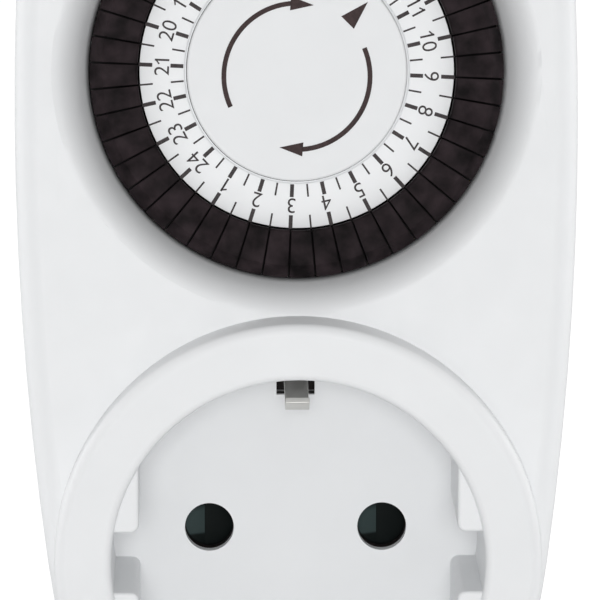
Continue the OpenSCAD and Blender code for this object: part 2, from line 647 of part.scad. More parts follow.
// ---------- mechanism ----------
nose_slot = [leg_out_r - leg_in_r + 1.4, 4.2];
module mechanism_plate() color("ivory") dial_frame() difference() {
    union() {
        translate([0, 0, plate_under_w]) {
            cylinder(r = plate_r, h = plate_t);
            for (p = concat(plate_screws_at, motor_lugs))
                translate([p[0], p[1], 0]) cylinder(r = lug_r, h = plate_t);
            for (p = concat(plate_screws_at, [motor_lugs[1]]))
                rotate(atan2(p[1], p[0])) translate([plate_r - 4, -lug_r, 0])
                    cube([norm(p) - plate_r + 4, 2 * lug_r, plate_t]);
        }
        translate([lever_u, tab_v + 1.9, plate_under_w])
            cube([ear_in + ear_t, pivot_v + 0.1 - tab_v, plate_t]);
        translate([second_at[0], second_at[1], plate_w - 0.1]) cylinder(r = 2.8, h = 3.6);
        for (p = motor_lugs) translate([p[0], p[1], motor_w])
            cylinder(r = motor_post_r, h = plate_under_w - motor_w + 0.1);
        for (s = [-1, 1])
            translate([lever_u + (s > 0 ? ear_in : -ear_in - ear_t), tab_v + 1.9, switch_w - 3.6])
                cube([ear_t, pivot_v + 2 - tab_v - 1.9, plate_under_w - switch_w + 3.7]);
    }
    translate([0, 0, plate_under_w - 1]) {
        cylinder(r = stem_r + fit_gap, h = 4);
        translate([second_at[0], second_at[1], 0]) cylinder(r = arbor_r + fit_gap, h = 8);
        translate([first_at[0], first_at[1], 0]) cylinder(r = axle_r, h = 4);
        for (p = plate_screws_at) translate([p[0], p[1], 0]) cylinder(r = thread_hole_r, h = 4);
        translate([lever_u - nose_slot[0] / 2, nose_v - nose_slot[1] + 1.4, 0])
            cube([nose_slot[0], nose_slot[1], 4]);
    }
    for (p = motor_lugs) translate([p[0], p[1], motor_w - 1]) cylinder(r = thread_r + fit_gap, h = 5);
    translate([lever_u - 5, pivot_v, pivot_w]) rotate([0, 90, 0]) cylinder(r = axle_r + fit_gap, h = 10);
    for (v = switch_pin_v)
        translate([lever_u - 5, v, switch_pin_w]) rotate([0, 90, 0])
            cylinder(r = switch_pin_r + fit_gap, h = 10);
}
switch_pin_v = [switch_v + 3.4, switch_v + switch_size[1] - 2.4];
module plate_screws() color("silver") dial_frame() for (p = plate_screws_at)
    translate([p[0], p[1], 0]) {
        translate([0, 0, plate_under_w - 1.2]) cylinder(r = tail_r, h = 1.2);
        translate([0, 0, plate_under_w - 0.1]) cylinder(r = thread_r, h = 4.4);
    }
module second_gear() color("gold") dial_frame() translate([second_at[0], second_at[1], 0]) {
    translate([0, 0, dial_gear_w + 0.1])
        gear(small_teeth, 2.6, mesh_phase(small_teeth, dial_teeth, 0, second_dir));
    translate([0, 0, second_wheel_w - 0.1])
        cylinder(r = arbor_r, h = dial_gear_w + 0.2 - second_wheel_w + 0.1);
    translate([0, 0, second_wheel_w - wheel_t]) gear(wheel_teeth, wheel_t, 0);
}
module first_gear() color("gold") dial_frame() translate([first_at[0], first_at[1], 0]) difference() {
    union() {
        translate([0, 0, second_wheel_w - wheel_t])
            gear(small_teeth, wheel_t, mesh_phase(small_teeth, wheel_teeth, 0, first_dir));
        translate([0, 0, first_wheel_w - 0.1])
            cylinder(r = 2, h = second_wheel_w - wheel_t - first_wheel_w + 0.2);
        translate([0, 0, first_wheel_w - wheel_t]) gear(wheel_teeth, wheel_t, 0);
    }
    translate([0, 0, first_wheel_w - wheel_t - 1]) cylinder(r = axle_r + fit_gap, h = 8);
}
module gear_axle() color("silver") dial_frame() translate([first_at[0], first_at[1], motor_w + 0.1])
    cylinder(r = axle_r, h = plate_w - motor_w - 0.1);
module motor() color("silver") dial_frame() difference() {
    union() {
        translate([motor_at[0], motor_at[1], motor_w - motor_t]) rounded_disc(motor_r, motor_t, 0.5, 2);
        translate([0, 0, motor_w - 1]) for (p = motor_lugs) {
            translate([p[0], p[1], 0]) cylinder(r = motor_ear_r, h = 1);
            translate([motor_at[0], motor_at[1], 0])
                rotate(atan2(p[1] - motor_at[1], p[0] - motor_at[0]))
                    translate([0, -motor_ear_r, 0]) cube([motor_lug_r, 2 * motor_ear_r, 1]);
        }
    }
    for (p = motor_lugs) translate([p[0], p[1], motor_w - 2]) cylinder(r = thread_hole_r, h = 3);
    translate([motor_gear_at[0], motor_gear_at[1], motor_w - 3]) cylinder(r = axle_r + fit_gap, h = 4);
}
module motor_screws() color("silver") dial_frame() for (p = motor_lugs)
    translate([p[0], p[1], 0]) {
        translate([0, 0, motor_w - 2.2]) cylinder(r = tail_r, h = 1.2);
        translate([0, 0, motor_w - 1.1]) cylinder(r = thread_r, h = 4.6);
    }
module motor_pinion() color("gold") dial_frame() translate([motor_gear_at[0], motor_gear_at[1], 0]) {
    translate([0, 0, first_wheel_w - wheel_t])
        gear(small_teeth, wheel_t, mesh_phase(small_teeth, wheel_teeth, 0, motor_dir));
    translate([0, 0, motor_w - 2.5]) cylinder(r = axle_r, h = first_wheel_w - wheel_t - motor_w + 2.6);
}

// ---------- switch ----------
module micro_switch() color("dimgray") dial_frame() difference() {
    translate([lever_u - switch_size[0] / 2, switch_v, switch_w - switch_size[2]]) cube(switch_size);
    translate([lever_u, plunger_v, switch_w - 3]) cylinder(r = plunger_r + fit_gap, h = 4);
    for (v = switch_pin_v)
        translate([lever_u - 5, v, switch_pin_w]) rotate([0, 90, 0])
            cylinder(r = switch_pin_r + fit_gap, h = 10);
}
module switch_blades() color("goldenrod") dial_frame() for (u = blade_u)
    translate([u - 1.2, blade_end_v, blade_w - 0.25]) cube([2.4, switch_v - blade_end_v, 0.5]);
module switch_pins() color("silver") dial_frame() for (v = switch_pin_v)
    translate([lever_u - ear_in - ear_t, v, switch_pin_w]) rotate([0, 90, 0])
        cylinder(r = switch_pin_r, h = 2 * (ear_in + ear_t));
module switch_plunger() color("red") dial_frame()
    translate([lever_u, plunger_v, switch_w - 1.6])
        cylinder(r = plunger_r, h = lever_low_w - gap - switch_w + 1.6);
module switch_lever() color("ivory") dial_frame() difference() {
    union() {
        translate([lever_u - 2, tab_v - 0.7, lever_low_w]) cube([4, pivot_v - tab_v + 0.7, lever_t]);
        translate([lever_u - 2, pivot_v, pivot_w]) rotate([0, 90, 0]) cylinder(r = 1.4, h = 4);
        translate([lever_u + 1, tab_v - 0.7, lever_low_w]) cube([4.6, 1.4, lever_t]);
        translate([lever_u - (leg_out_r - leg_in_r) / 2, 0, 0]) dial_profile([
            [nose_v - 1, lever_top_w - 0.1], [nose_v + 1, lever_top_w - 0.1], [nose_v + 0.9, plate_w + 0.1],
            [nose_v + 0.25, leg_w - tripper_travel - 0.1], [nose_v + 0.25, nose_w],
            [nose_v - 0.25, nose_w], [nose_v - 0.25, leg_w - tripper_travel - 0.1],
            [nose_v - 0.9, plate_w + 0.1]], leg_out_r - leg_in_r);
    }
    translate([lever_u - 5, pivot_v, pivot_w]) rotate([0, 90, 0]) cylinder(r = axle_r + fit_gap, h = 10);
}
module lever_pin() color("silver") dial_frame()
    translate([lever_u - ear_in - ear_t, pivot_v, pivot_w]) rotate([0, 90, 0])
        cylinder(r = axle_r, h = 2 * (ear_in + ear_t));

module override_slider() color("firebrick") dial_frame() {
    translate([slide_u - slide_plate_t, window_v - slide_travel - 0.6, slide_mid_w - slide_plate_w / 2])
        cube([slide_plate_t, window_len + slide_travel + 1.2, slide_plate_w]);
    translate([slide_u - 0.1, window_v + 0.4, slide_mid_w - window_w / 2 + gap]) difference() {
        cube([half_w - slide_u - 0.2, nub_len, window_w - 2 * gap]);
        for (k = [1:4]) translate([half_w - slide_u - 0.7, k * nub_len / 5 - 0.3, -1])
            cube([2, 0.6, window_w + 2]);
    }
    translate([finger_u, 0, 0]) dial_profile([
        [finger_v, slide_mid_w], [finger_v, lever_top_w + 0.2],
        [finger_v - slide_travel + 1.1, lever_top_w - finger_drop + 0.2],
        [finger_v - slide_travel - 0.6, lever_top_w - finger_drop + 0.2],
        [finger_v - slide_travel - 0.6, slide_mid_w]], finger_end_u - finger_u);
    translate([finger_end_u - 0.1, finger_v - slide_travel - 0.6, slide_mid_w - slide_plate_w / 2])
        cube([0.5, slide_travel + 0.6, slide_plate_w / 2]);
}

front_shell();
rear_shell();
housing_screws();
socket_shutter();
live_pin();
neutral_pin();
earth_strap();
live_contact();
neutral_contact();
neutral_bar();
live_in_bar();
live_out_bar();
mechanism_plate();
plate_screws();
centre_disc();
stem_clip();
dial_body();
scale_ring();
second_gear();
first_gear();
gear_axle();
motor();
motor_screws();
motor_pinion();
micro_switch();
switch_blades();
switch_pins();
switch_plunger();
switch_lever();
lever_pin();
override_slider();
for (h = [1:24]) hour_trippers(h);
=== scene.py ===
# %% [markdown]
# # A plug-in timer switch
# The object is a white plastic housing that plugs into a wall socket. A ring of dark, press-down
# trippers on its sloping face sets the hours at which the socket below is switched on.
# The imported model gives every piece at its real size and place. This lesson gives those pieces
# their moulded edges, their printing and their finishes, one short cell at a time.

import json
import math

import bpy
from mathutils import Matrix, Vector


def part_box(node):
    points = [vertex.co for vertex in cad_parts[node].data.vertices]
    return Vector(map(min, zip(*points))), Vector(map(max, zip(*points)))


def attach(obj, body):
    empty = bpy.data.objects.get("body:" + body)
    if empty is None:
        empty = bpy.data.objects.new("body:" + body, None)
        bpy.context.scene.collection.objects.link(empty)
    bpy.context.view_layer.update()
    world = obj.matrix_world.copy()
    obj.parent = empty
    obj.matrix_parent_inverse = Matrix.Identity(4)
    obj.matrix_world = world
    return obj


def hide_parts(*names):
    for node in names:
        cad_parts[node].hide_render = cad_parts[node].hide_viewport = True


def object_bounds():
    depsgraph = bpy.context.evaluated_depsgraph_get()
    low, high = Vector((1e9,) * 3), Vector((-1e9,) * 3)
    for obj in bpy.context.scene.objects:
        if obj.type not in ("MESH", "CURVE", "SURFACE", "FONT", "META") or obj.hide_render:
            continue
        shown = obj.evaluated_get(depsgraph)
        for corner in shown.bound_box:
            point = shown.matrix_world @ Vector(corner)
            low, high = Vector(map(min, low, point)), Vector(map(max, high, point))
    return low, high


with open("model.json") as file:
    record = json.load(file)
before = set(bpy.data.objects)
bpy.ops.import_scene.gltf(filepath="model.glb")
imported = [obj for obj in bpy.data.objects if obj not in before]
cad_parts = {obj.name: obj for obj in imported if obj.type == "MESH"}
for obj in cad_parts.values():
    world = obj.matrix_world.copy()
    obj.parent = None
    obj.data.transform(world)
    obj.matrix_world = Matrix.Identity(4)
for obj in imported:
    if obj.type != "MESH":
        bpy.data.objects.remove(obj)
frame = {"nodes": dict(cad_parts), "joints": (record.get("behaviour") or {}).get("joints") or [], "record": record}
cad_box = [list(corner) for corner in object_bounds()]
nodes = frame["nodes"]
MM = 0.001
print("CAD nodes:", len(nodes), "box:", cad_box)

# %% [markdown]
# ## Small helpers
# Operators act on whatever is selected, and the loaded nodes arrive selected. So the first helper
# clears the selection and picks one object. The next ones apply a piece's modifiers in the order in
# which they stand, apply its transform, and join pieces into one.

# %% Selection, modifiers and joining
def pick(piece):
    bpy.ops.object.select_all(action="DESELECT")
    piece.select_set(True)
    bpy.context.view_layer.objects.active = piece
    return piece


def apply_all(piece):
    pick(piece)
    for name in [m.name for m in piece.modifiers]:
        bpy.ops.object.modifier_apply(modifier=name)
    return piece


def set_in_place(piece):
    pick(piece)
    bpy.ops.object.transform_apply(location=True, rotation=True, scale=True)
    return piece


def joined(pieces, name):
    """One piece made of all the pieces, with its origin in the frame's origin."""
    bpy.ops.object.select_all(action="DESELECT")
    for piece in pieces:
        piece.select_set(True)
    bpy.context.view_layer.objects.active = pieces[0]
    bpy.ops.object.join()
    pieces[0].name = name
    return set_in_place(pieces[0])


bpy.ops.object.select_all(action="DESELECT")
print("still selected:", len(bpy.context.selected_objects))

# %% [markdown]
# Nobody points at an edge in a script, so vertices, edges and faces are chosen by a test on their
# place or direction. The selection is set in object mode and then used in edit mode.

# %% Selection in edit mode
def open_whole(piece):
    """Opens a piece in edit mode with everything selected."""
    pick(piece)
    bpy.ops.object.mode_set(mode="EDIT")
    bpy.ops.mesh.select_all(action="SELECT")


def open_chosen(piece, kind, test):
    """Opens a piece in edit mode with the chosen vertices, edges or faces selected."""
    pick(piece)
    bpy.ops.object.mode_set(mode="EDIT")
    bpy.ops.mesh.select_mode(type=kind)
    bpy.ops.mesh.select_all(action="DESELECT")
    bpy.ops.object.mode_set(mode="OBJECT")
    mesh = piece.data
    elements = {"VERT": mesh.vertices, "EDGE": mesh.edges, "FACE": mesh.polygons}[kind]
    chosen = [element for element in elements if test(element)]
    for element in chosen:
        element.select = True
    bpy.ops.object.mode_set(mode="EDIT")
    print(piece.name, kind.lower(), "elements chosen:", len(chosen))


def close_edit():
    bpy.ops.object.mode_set(mode="OBJECT")


# %% [markdown]
# The record says which body each node belongs to and which material slot it has. A piece that takes
# a node's place keeps both.

# %% Bodies and slots of the nodes
def body_of(node):
    groups = frame["record"]["behaviour"]["bodies"]
    return next(body for body, members in groups.items() if node in members)


def slot_of(node):
    return next(p["material_slot"] for p in frame["record"]["subparts"] if p["node"] == node)


# %% [markdown]
# ## The dial's own axes
# The dial lies on a sloping face. Its hinge in the frame gives the centre and the axis, and a
# matrix made from them lets every mark be placed with plain radii and angles: u to the right, v up
# the slope and w out of the face.

# %% Dial frame
dial_joint = next(j for j in frame["joints"] if j["name"] == "dial_turn")
dial_centre = Vector(dial_joint["pos_m"])
w_axis = Vector(dial_joint["axis"]).normalized()
u_axis = Vector((1, 0, 0))
v_axis = w_axis.cross(u_axis)
DIAL = Matrix((u_axis, v_axis, w_axis)).transposed().to_4x4()
DIAL.translation = dial_centre


def on_dial(radius, angle, height, turn=0.0):
    """A place on the dial: radius and height in mm, angle and turn in degrees."""
    a = math.radians(angle)
    spot = Matrix.Translation(Vector((radius * math.cos(a), radius * math.sin(a), height)) * MM)
    return DIAL @ spot @ Matrix.Rotation(math.radians(turn), 4, "Z")


print("dial centre", dial_centre, "axis", w_axis)

# %% [markdown]
# ## Camera
# The view is nearly straight on, a little above and a hair to the left. A long lens a step away
# keeps the upright lines upright and needs no shift.

# %% Camera
VIEW_AZIMUTH = -1.1
VIEW_ELEVATION = 11.35
VIEW_DISTANCE = 0.6
VIEW_TARGET = Vector((0.155, -54.5, 28.98)) * MM
LENS_MM = 339


def look_from(thing, azimuth, elevation, distance):
    """Puts a camera or a lamp that many metres from the target and turns it to the target."""
    a, e = math.radians(azimuth), math.radians(elevation)
    way = Vector((math.sin(a) * math.cos(e), -math.cos(a) * math.cos(e), math.sin(e)))
    thing.location = VIEW_TARGET + way * distance
    thing.rotation_euler = (-way).to_track_quat("-Z", "Y").to_euler()
    bpy.context.scene.collection.objects.link(thing)
    return thing


camera_data = bpy.data.cameras.new("camera")
camera_data.sensor_width = 36
camera_data.lens = LENS_MM
camera_data.clip_start = 0.01
camera = bpy.data.objects.new("camera", camera_data)
look_from(camera, VIEW_AZIMUTH, VIEW_ELEVATION, VIEW_DISTANCE)
bpy.context.scene.camera = camera
print("camera at", camera.location)

# %% [markdown]
# ## Lamps
# Product light for a white object comes mostly from one lamp right beside the camera, which reaches
# the bottom of the deep recess without a cast shadow. Two weak lamps a little behind the object lift
# its side walls, which turn away from the first one.

# %% Lamps
# name: azimuth and elevation in degrees, distance and size in metres, power in watts
LAMPS = {
    "key_light": (-1, 9, 0.9, 0.3, 3.5),
    "left_rim_light": (-108, 8, 0.5, 0.25, 0.8),
    "right_rim_light": (106, 8, 0.5, 0.25, 0.8),
}


def area_light(name, azimuth, elevation, distance, size, power):
    data = bpy.data.lights.new(name, "AREA")
    data.shape = "DISK"
    data.size = size
    data.energy = power
    return look_from(bpy.data.objects.new(name, data), azimuth, elevation, distance)


for name, setting in LAMPS.items():
    area_light(name, *setting)

# %% [markdown]
# ## Surrounding
# An even pale surrounding keeps the walls of the recess open. The camera, reflections and clear
# pieces get a white one instead, so that the background is white while the soft light stays weak.

# %% Surrounding
SURROUND_STRENGTH = 0.50


def seen_or_reflected(tree):
    """1 for the rays that look at a thing straight, in a reflection or through a clear piece."""
    path = tree.nodes.new("ShaderNodeLightPath")
    total = path.outputs["Is Camera Ray"]
    for kind in ("Is Glossy Ray", "Is Transmission Ray"):
        add = tree.nodes.new("ShaderNodeMath")
        add.operation = "ADD"
        add.use_clamp = True
        tree.links.new(total, add.inputs[0])
        tree.links.new(path.outputs[kind], add.inputs[1])
        total = add.outputs[0]
    return total


def white_background(tree, strength):
    shader = tree.nodes.new("ShaderNodeBackground")
    shader.inputs["Color"].default_value = (1, 1, 1, 1)
    shader.inputs["Strength"].default_value = strength
    return shader.outputs[0]


world = bpy.data.worlds.new("studio")
bpy.context.scene.world = world
world.use_nodes = True
tree = world.node_tree
tree.nodes.clear()
world_out = tree.nodes.new("ShaderNodeOutputWorld")
soft_light = white_background(tree, SURROUND_STRENGTH)
white_back = white_background(tree, 1.0)
chooser = tree.nodes.new("ShaderNodeMixShader")
tree.links.new(seen_or_reflected(tree), chooser.inputs["Fac"])
tree.links.new(soft_light, chooser.inputs[1])
tree.links.new(white_back, chooser.inputs[2])
tree.links.new(chooser.outputs[0], world_out.inputs["Surface"])
bpy.context.scene.view_settings.view_transform = "Standard"
print("strength of the surrounding:", SURROUND_STRENGTH)

# %% [markdown]
# ## Finishes
# Each finish is a Principled shader whose colour, roughness and relief follow noise. The noise reads
# Object coordinates, so that its spots keep their real size. These small functions make the noise,
# and run a colour, a number or a bump along it.

# %% Building blocks for the materials
NOISE_LOW = 0.3
NOISE_HIGH = 0.7


def start_material(name):
    material = bpy.data.materials.new(name)
    material.use_nodes = True
    tree = material.node_tree
    shader = tree.nodes["Principled BSDF"]
    place = tree.nodes.new("ShaderNodeTexCoord").outputs["Object"]
    return material, tree, shader, place


def noise(tree, place, size_mm, detail=2.0, stretch=None):
    """Noise whose spots are about size_mm across. A small stretch makes them long on that axis."""
    if stretch:
        mapping = tree.nodes.new("ShaderNodeMapping")
        mapping.inputs["Scale"].default_value = stretch
        tree.links.new(place, mapping.inputs["Vector"])
        place = mapping.outputs["Vector"]
    texture = tree.nodes.new("ShaderNodeTexNoise")
    texture.inputs["Scale"].default_value = 1 / (size_mm * MM)
    texture.inputs["Detail"].default_value = detail
    tree.links.new(place, texture.inputs["Vector"])
    return texture.outputs["Fac"]


def tint(tree, fac, low, high, target):
    """A drift between two colours over the middle of the noise."""
    ramp = tree.nodes.new("ShaderNodeValToRGB")
    ramp.color_ramp.elements[0].position = NOISE_LOW
    ramp.color_ramp.elements[1].position = NOISE_HIGH
    ramp.color_ramp.elements[0].color = (*low, 1)
    ramp.color_ramp.elements[1].color = (*high, 1)
    tree.links.new(fac, ramp.inputs["Fac"])
    tree.links.new(ramp.outputs["Color"], target)


def spread(tree, fac, low, high, target):
    """A number that runs from low to high with the noise."""
    reach = tree.nodes.new("ShaderNodeMapRange")
    reach.inputs["From Min"].default_value = NOISE_LOW
    reach.inputs["From Max"].default_value = NOISE_HIGH
    reach.inputs["To Min"].default_value = low
    reach.inputs["To Max"].default_value = high
    tree.links.new(fac, reach.inputs["Value"])
    tree.links.new(reach.outputs["Result"], target)


def relief(tree, fac, depth_mm, strength, shader, under=None):
    """A bump of that depth. under is the normal of a coarser bump below it."""
    bump = tree.nodes.new("ShaderNodeBump")
    bump.inputs["Distance"].default_value = depth_mm * MM
    bump.inputs["Strength"].default_value = strength
    tree.links.new(fac, bump.inputs["Height"])
    if under:
        tree.links.new(under, bump.inputs["Normal"])
    tree.links.new(bump.outputs["Normal"], shader.inputs["Normal"])
    return bump.outputs["Normal"]


def drifting_colour(tree, fac, colour, drift, shader):
    """A base colour that runs with the noise from a share drift darker to the same share paler."""
    pale = tuple(min(1.0, c * (1 + drift)) for c in colour)
    deep = tuple(c * (1 - drift) for c in colour)
    tint(tree, fac, deep, pale, shader.inputs["Base Color"])


def polished_spots(tree, fac, roughness, smoother, rougher, shader):
    """A roughness that handling has lowered in some spots and left higher in others."""
    spread(tree, fac, roughness - smoother, roughness + rougher, shader.inputs["Roughness"])


# %% [markdown]
# Moulded plastic is never one flat colour: the tool's spark-eroded surface leaves a fine grain, the
# tone drifts a little over a few millimetres, and handling polishes some spots. One function makes
# all the plastics, and a table says how they differ.

# %% Moulded plastics
HANDLING_MM = 2.5
RIPPLE_MM = 6.0
RIPPLE_DEPTH = 0.02
# name: colour, drift, roughness, width and depth of the grain in mm, and where they differ from the
# usual ones the specular level and the width in mm of the clouds in the colour
PLASTICS = {
    "housing_white": ((0.80, 0.81, 0.82), 0.010, 0.50, 0.22, 0.006, 0.26),
    "dial_white": ((0.78, 0.79, 0.80), 0.008, 0.52, 0.30, 0.003, 0.22),
    "scale_white": ((0.86, 0.87, 0.88), 0.008, 0.52, 0.30, 0.003, 0.22),
    "tripper_brown": ((0.0150, 0.0105, 0.0120), 0.75, 0.62, 0.16, 0.012, 0.07, 2.2),
    "drum_brown": ((0.010, 0.008, 0.009), 0.20, 0.60, 0.20, 0.010, 0.3),
    "acetal_ivory": ((0.72, 0.68, 0.56), 0.03, 0.40, 0.25, 0.004),
    "switch_black": ((0.020, 0.020, 0.022), 0.20, 0.50, 0.18, 0.010, 0.4),
    "plunger_red": ((0.42, 0.03, 0.02), 0.06, 0.38, 0.20, 0.004),
    "slider_red": ((0.36, 0.025, 0.02), 0.06, 0.40, 0.20, 0.006),
    "shutter_green": ((0.006, 0.009, 0.009), 0.15, 0.50, 0.20, 0.005, 0.2),
    # painted shade: the colour of the thin dark sheets in the pin holes, slots and grooves
    "painted_shade_black": ((0.012, 0.008, 0.008), 0.20, 0.60, 0.20, 0.006, 0.2),
}


def plastic(name, colour, drift, roughness, grain_mm, grain_depth, specular=0.5, cloud_mm=7.0):
    """A moulded plastic, with drifting colour, polished spots, a soft ripple and a fine grain."""
    material, tree, shader, place = start_material(name)
    drifting_colour(tree, noise(tree, place, cloud_mm, 3.0), colour, drift, shader)
    polished_spots(tree, noise(tree, place, HANDLING_MM, 4.0), roughness, 0.05, 0.06, shader)
    ripple = relief(tree, noise(tree, place, RIPPLE_MM, 1.0), RIPPLE_DEPTH, 0.25, shader)
    relief(tree, noise(tree, place, grain_mm, 2.0), grain_depth, 0.5, shader, ripple)
    shader.inputs["Specular IOR Level"].default_value = specular
    return material


materials = {name: plastic(name, *look) for name, look in PLASTICS.items()}
print("plastics:", list(materials))

# %% [markdown]
# The front step of the shutter's ramps is painted a pale blue-grey. This is a painted highlight where light
# falls into the pin holes. The deeper step and what lies above and below it keep the dark colour of
# the moulding as painted shade. Soft steps on Object coordinates, one along the depth and two along
# the height, mark out the painted lit patch.

# %% Painted highlight on the shutter's front step
# painted highlight: the pale colour of the patch of light on the shutter's front step
LIT_PATCH_COLOUR = (0.048, 0.070, 0.070)
# axis, and the places in mm where the painted highlight starts and where it is full
LIT_PATCH_LIMITS = (("Y", -32.5, -32.75), ("Z", -1.75, -1.5), ("Z", 1.9, 0.9))


def worn_step(material, lit_colour, limits_mm):
    """Paints a material paler, as a painted highlight, where every one of the limits is passed."""
    tree = material.node_tree
    shader = tree.nodes["Principled BSDF"]
    moulded = shader.inputs["Base Color"].links[0].from_socket
    place = tree.nodes.new("ShaderNodeTexCoord").outputs["Object"]
    axes = tree.nodes.new("ShaderNodeSeparateXYZ")
    tree.links.new(place, axes.inputs[0])
    lit_share = None
    for axis, start, full in limits_mm:
        step = tree.nodes.new("ShaderNodeMapRange")
        step.inputs["From Min"].default_value = start * MM
        step.inputs["From Max"].default_value = full * MM
        tree.links.new(axes.outputs[axis], step.inputs["Value"])
        if lit_share is None:
            lit_share = step.outputs["Result"]
            continue
        both = tree.nodes.new("ShaderNodeMath")
        both.operation = "MULTIPLY"
        tree.links.new(lit_share, both.inputs[0])
        tree.links.new(step.outputs["Result"], both.inputs[1])
        lit_share = both.outputs[0]
    # mixes the painted highlight into the dark moulding colour, which stays as painted shade elsewhere
    lit_mix = tree.nodes.new("ShaderNodeMix")
    lit_mix.data_type = "RGBA"
    lit_mix.inputs[7].default_value = (*lit_colour, 1)
    tree.links.new(lit_share, lit_mix.inputs["Factor"])
    tree.links.new(moulded, lit_mix.inputs[6])
    tree.links.new(lit_mix.outputs[2], shader.inputs["Base Color"])


# paints the patch of light on the shutter's front step; deeper, above and below it stays dark as painted shade
worn_step(materials["shutter_green"], LIT_PATCH_COLOUR, LIT_PATCH_LIMITS)
print("painted highlight limits:", len(LIT_PATCH_LIMITS))

# %% [markdown]
# Metal gets its look from roughness more than from colour. The pins are nickel plated and carry the
# fine lengthwise marks of the sockets they were pushed into. The screws are zinc plated, and the
# contacts are stamped from brass strip.

# %% Metals
TARNISH_MM = 3.0
WEAR_MM = 1.2
# name: colour, drift, roughness, stretch of the marks on each axis, their width and depth in mm
METALS = {
    "pin_nickel": ((0.66, 0.63, 0.57), 0.03, 0.30, (1, 0.03, 1), 0.12, 0.0006),
    "earth_nickel": ((0.74, 0.73, 0.70), 0.05, 0.44, (1, 0.05, 1), 0.15, 0.003),
    "contact_brass": ((0.72, 0.52, 0.25), 0.06, 0.30, (1, 0.08, 1), 0.15, 0.004),
    "screw_zinc": ((0.55, 0.56, 0.57), 0.06, 0.32, (1, 1, 1), 0.20, 0.004),
    "motor_steel": ((0.50, 0.50, 0.50), 0.05, 0.36, (0.1, 1, 1), 0.20, 0.004),
}


def metal(name, colour, drift, roughness, mark_stretch, mark_mm, mark_depth):
    """A plated or stamped metal with marks that run along the axis with the smallest stretch."""
    material, tree, shader, place = start_material(name)
    drifting_colour(tree, noise(tree, place, TARNISH_MM, 4.0), colour, drift, shader)
    polished_spots(tree, noise(tree, place, WEAR_MM, 3.0), roughness, 0.04, 0.06, shader)
    relief(tree, noise(tree, place, mark_mm, 2.0, mark_stretch), mark_depth, 0.35, shader)
    shader.inputs["Metallic"].default_value = 1.0
    return material


for name, look in METALS.items():
    materials[name] = metal(name, *look)
print("metals:", list(METALS))

# %% [markdown]
# The printing on the dial is a matt ink, a warm dark grey that is a little thin in places.

# %% Ink
THIN_SHARE = 1.6
THIN_SPOT_MM = 0.5
INK_GRAIN_MM = 0.12
INK_GRAIN_DEPTH = 0.002


def ink(name, colour):
    """A matt ink, THIN_SHARE times as pale where it is thin."""
    material, tree, shader, place = start_material(name)
    thin = tuple(c * THIN_SHARE for c in colour)
    tint(tree, noise(tree, place, THIN_SPOT_MM, 3.0), colour, thin, shader.inputs["Base Color"])
    relief(tree, noise(tree, place, INK_GRAIN_MM, 2.0), INK_GRAIN_DEPTH, 0.4, shader)
    shader.inputs["Roughness"].default_value = 0.7
    shader.inputs["Specular IOR Level"].default_value = 0.25
    return material


dial_ink = ink("dial_ink", (0.040, 0.034, 0.035))
arrow_ink = ink("arrow_ink", (0.032, 0.020, 0.020))
print("inks:", dial_ink.name, arrow_ink.name)

# %% [markdown]
# Every loaded node gets its finish from the slot that the record gives it. A few pieces share a slot
# with others but look different, and have a finish of their own.

# %% Finishes on the loaded nodes
SLOT_FINISH = {
    "white_plastic": "housing_white", "white_dial_plastic": "dial_white",
    "dark_plastic": "tripper_brown", "gear_plastic": "acetal_ivory",
    "switch_plastic": "switch_black", "plunger_plastic": "plunger_red",
    "slider_plastic": "slider_red", "shutter_plastic": "shutter_green",
    "nickel": "pin_nickel", "contact_brass": "contact_brass", "steel": "screw_zinc",
}
OWN_FINISH = {
    "dial_body": "drum_brown", "scale_ring": "scale_white", "motor": "motor_steel",
    "earth_strap": "earth_nickel",
}


def finish(piece, material):
    piece.data.materials.clear()
    piece.data.materials.append(material)


for name, node in nodes.items():
    finish(node, materials[OWN_FINISH.get(name, SLOT_FINISH[slot_of(name)])])
print("finished nodes:", len(nodes))

# %% [markdown]
# ## Moulded edges
# The loaded pieces have perfectly sharp edges, and no moulding has. A copy of a node is merged from
# its loose triangles, its flat areas are dissolved into whole faces, and a narrow bevel breaks each
# edge. The copy then stands for the node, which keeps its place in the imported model.

# %% Merged copy and broken edges
MERGE_MM = 0.002
FLAT_DEG = 0.05
ROUND_DEG = 30.0


def merged_copy(name):
    """A copy of a node whose flat triangles are merged into whole faces."""
    piece = nodes[name].copy()
    piece.data = nodes[name].data.copy()
    piece.name = name + "_moulded"
    piece.parent = None
    for key in list(piece.keys()):
        del piece[key]
    bpy.context.scene.collection.objects.link(piece)
    piece.matrix_world = Matrix.Identity(4)
    open_whole(piece)
    bpy.ops.mesh.remove_doubles(threshold=MERGE_MM * MM)
    bpy.ops.mesh.dissolve_limited(angle_limit=math.radians(FLAT_DEG))
    close_edit()
    return piece


def smooth_rounds(piece):
    """Smooth shading on round walls, with sharp edges left as they are."""
    pick(piece)
    bpy.ops.object.shade_smooth_by_angle(angle=math.radians(ROUND_DEG))
    return piece


def break_edges(piece, width_mm, edge_deg=28.0, smooth_deg=32.0):
    """A small radius on every edge that turns by more than edge_deg, and smooth shading."""
    bevel = piece.modifiers.new("edges", "BEVEL")
    bevel.width = width_mm * MM
    bevel.segments = 2
    bevel.limit_method = "ANGLE"
    bevel.angle_limit = math.radians(edge_deg)
    bevel.use_clamp_overlap = True
    apply_all(piece)
    bpy.ops.object.shade_smooth_by_angle(angle=math.radians(smooth_deg))
    piece.modifiers.new("flats", "WEIGHTED_NORMAL").keep_sharp = True
    return apply_all(piece)


def stands_for(piece, name):
    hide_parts(name)
    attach(piece, body_of(name))
    return piece


def moulded(name, edge_mm):
    """A copy of a node with broken edges, which stands for the node."""
    return stands_for(break_edges(merged_copy(name), edge_mm), name)


